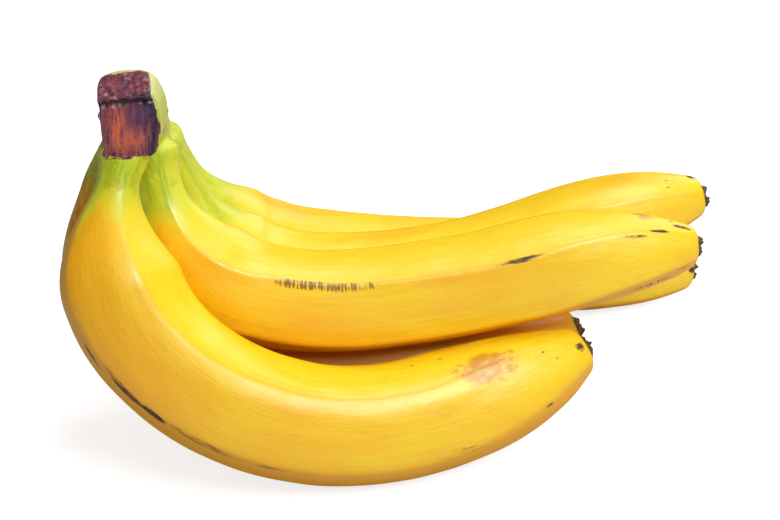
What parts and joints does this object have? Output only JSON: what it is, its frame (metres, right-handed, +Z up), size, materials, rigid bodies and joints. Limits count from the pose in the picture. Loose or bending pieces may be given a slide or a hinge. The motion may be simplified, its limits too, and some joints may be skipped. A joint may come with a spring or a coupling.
{
  "type": "bunch of bananas",
  "caption": "Bunch of ripe yellow bananas, nested in two rows on a cut piece of crown and lying on its lower row, for food and kitchen scenes.",
  "frame": {"origin": "bottom centre of the whole bunch's box, on the surface that it rests on", "axes": "+Z up, +X from the crown towards the tips, -Y towards the front finger of the lower row"},
  "size_m": [0.2088, 0.1589, 0.1187],
  "materials": {
    "peel": "satin, waxy yellow peel, green at the neck",
    "crown_skin": "dried dark brown cut tissue with green-yellow skin round it",
    "dried_flower": "dry, rough, dark brown"
  },
  "bodies": {
    "root": {"crown": "crown_skin", "banana_front_lower": "peel", "banana_rear_lower": "peel", "banana_front_upper": "peel", "banana_middle_upper": "peel", "banana_rear_upper": "peel", "blossom_end_front_lower": "dried_flower", "blossom_end_rear_lower": "dried_flower", "blossom_end_front_upper": "dried_flower", "blossom_end_middle_upper": "dried_flower", "blossom_end_rear_upper": "dried_flower"}
  },
  "joints": []
}
